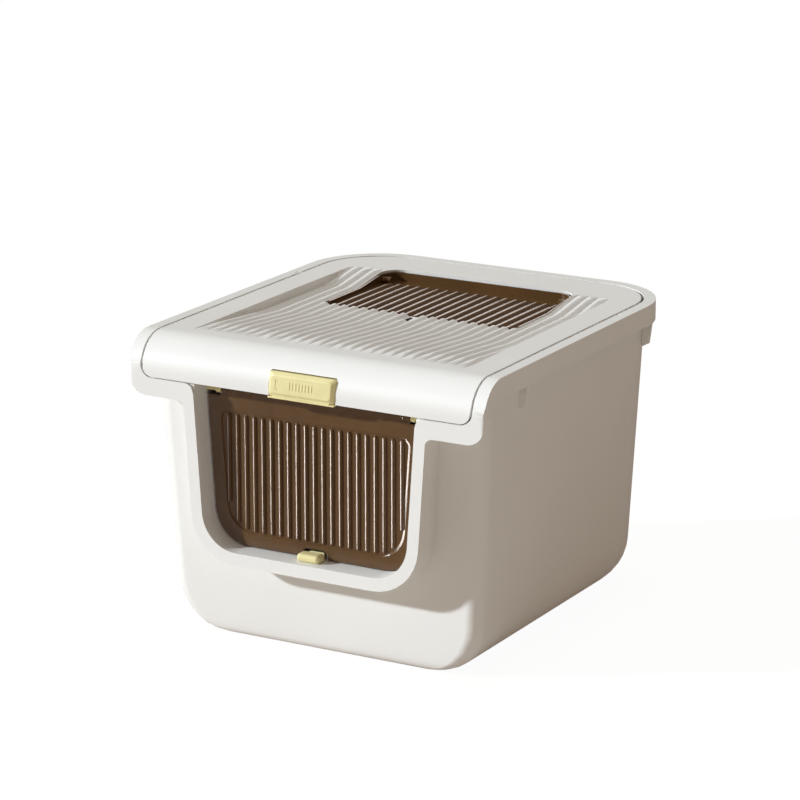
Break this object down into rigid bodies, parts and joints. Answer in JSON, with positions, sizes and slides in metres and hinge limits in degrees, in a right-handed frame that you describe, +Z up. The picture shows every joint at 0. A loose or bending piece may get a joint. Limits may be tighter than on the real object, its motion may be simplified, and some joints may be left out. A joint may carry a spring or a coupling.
{
  "type": "top entry litter box",
  "caption": "Enclosed cat litter box with a lift-up ribbed lid, a smoke flap in the top, a smoke swing door in front and a push button",
  "frame": {"origin": "on the floor, under the centre of the whole part's bounding box", "axes": "+Z up; -Y the front with the door and the push button; +X to the right of someone who looks at the front from outside"},
  "size_m": [0.45, 0.4975, 0.351],
  "materials": {
    "shell": "fine satin",
    "smoke": "clear tinted, glossy",
    "accent": "satin",
    "steel": "plain"
  },
  "bodies": {
    "tub": {"tub": "shell", "pivot_clip_left": "shell", "pivot_clip_right": "shell", "door_pin_left": "accent", "door_pin_right": "accent"},
    "lid": {"lid": "shell", "latch_cover": "shell", "latch_cover_screws": "steel", "latch_spring_left": "steel", "latch_spring_right": "steel", "flap_pin_left": "steel", "flap_pin_right": "steel"},
    "button": {"push_button": "accent"},
    "door": {"front_door": "smoke"},
    "lock": {"door_lock": "accent", "door_lock_clip": "steel"},
    "flap": {"top_flap": "smoke"}
  },
  "joints": [
    {"name": "lid_hinge", "type": "hinge", "parent": "tub", "child": "lid", "pos_m": [0, 0.103, 0.342], "axis": [-1, 0, 0], "range_deg": [0, 95]},
    {"name": "flap_hinge", "type": "hinge", "parent": "lid", "child": "flap", "pos_m": [0, 0.1515, 0.3422], "axis": [-1, 0, 0], "range_deg": [0, 75]},
    {"name": "door_hinge", "type": "hinge", "parent": "tub", "child": "door", "pos_m": [0, -0.214, 0.294], "axis": [1, 0, 0], "range_deg": [-80, 75]},
    {"name": "button_slide", "type": "slide", "parent": "lid", "child": "button", "axis": [0, 1, 0], "range_m": [0, 0.004], "stiffness_N_per_m": 600, "springref_m": -0.002, "deforming": ["latch_spring_left", "latch_spring_right"]},
    {"name": "lock_slide", "type": "slide", "parent": "tub", "child": "lock", "axis": [0, 0, 1], "range_m": [0, 0.005]}
  ]
}
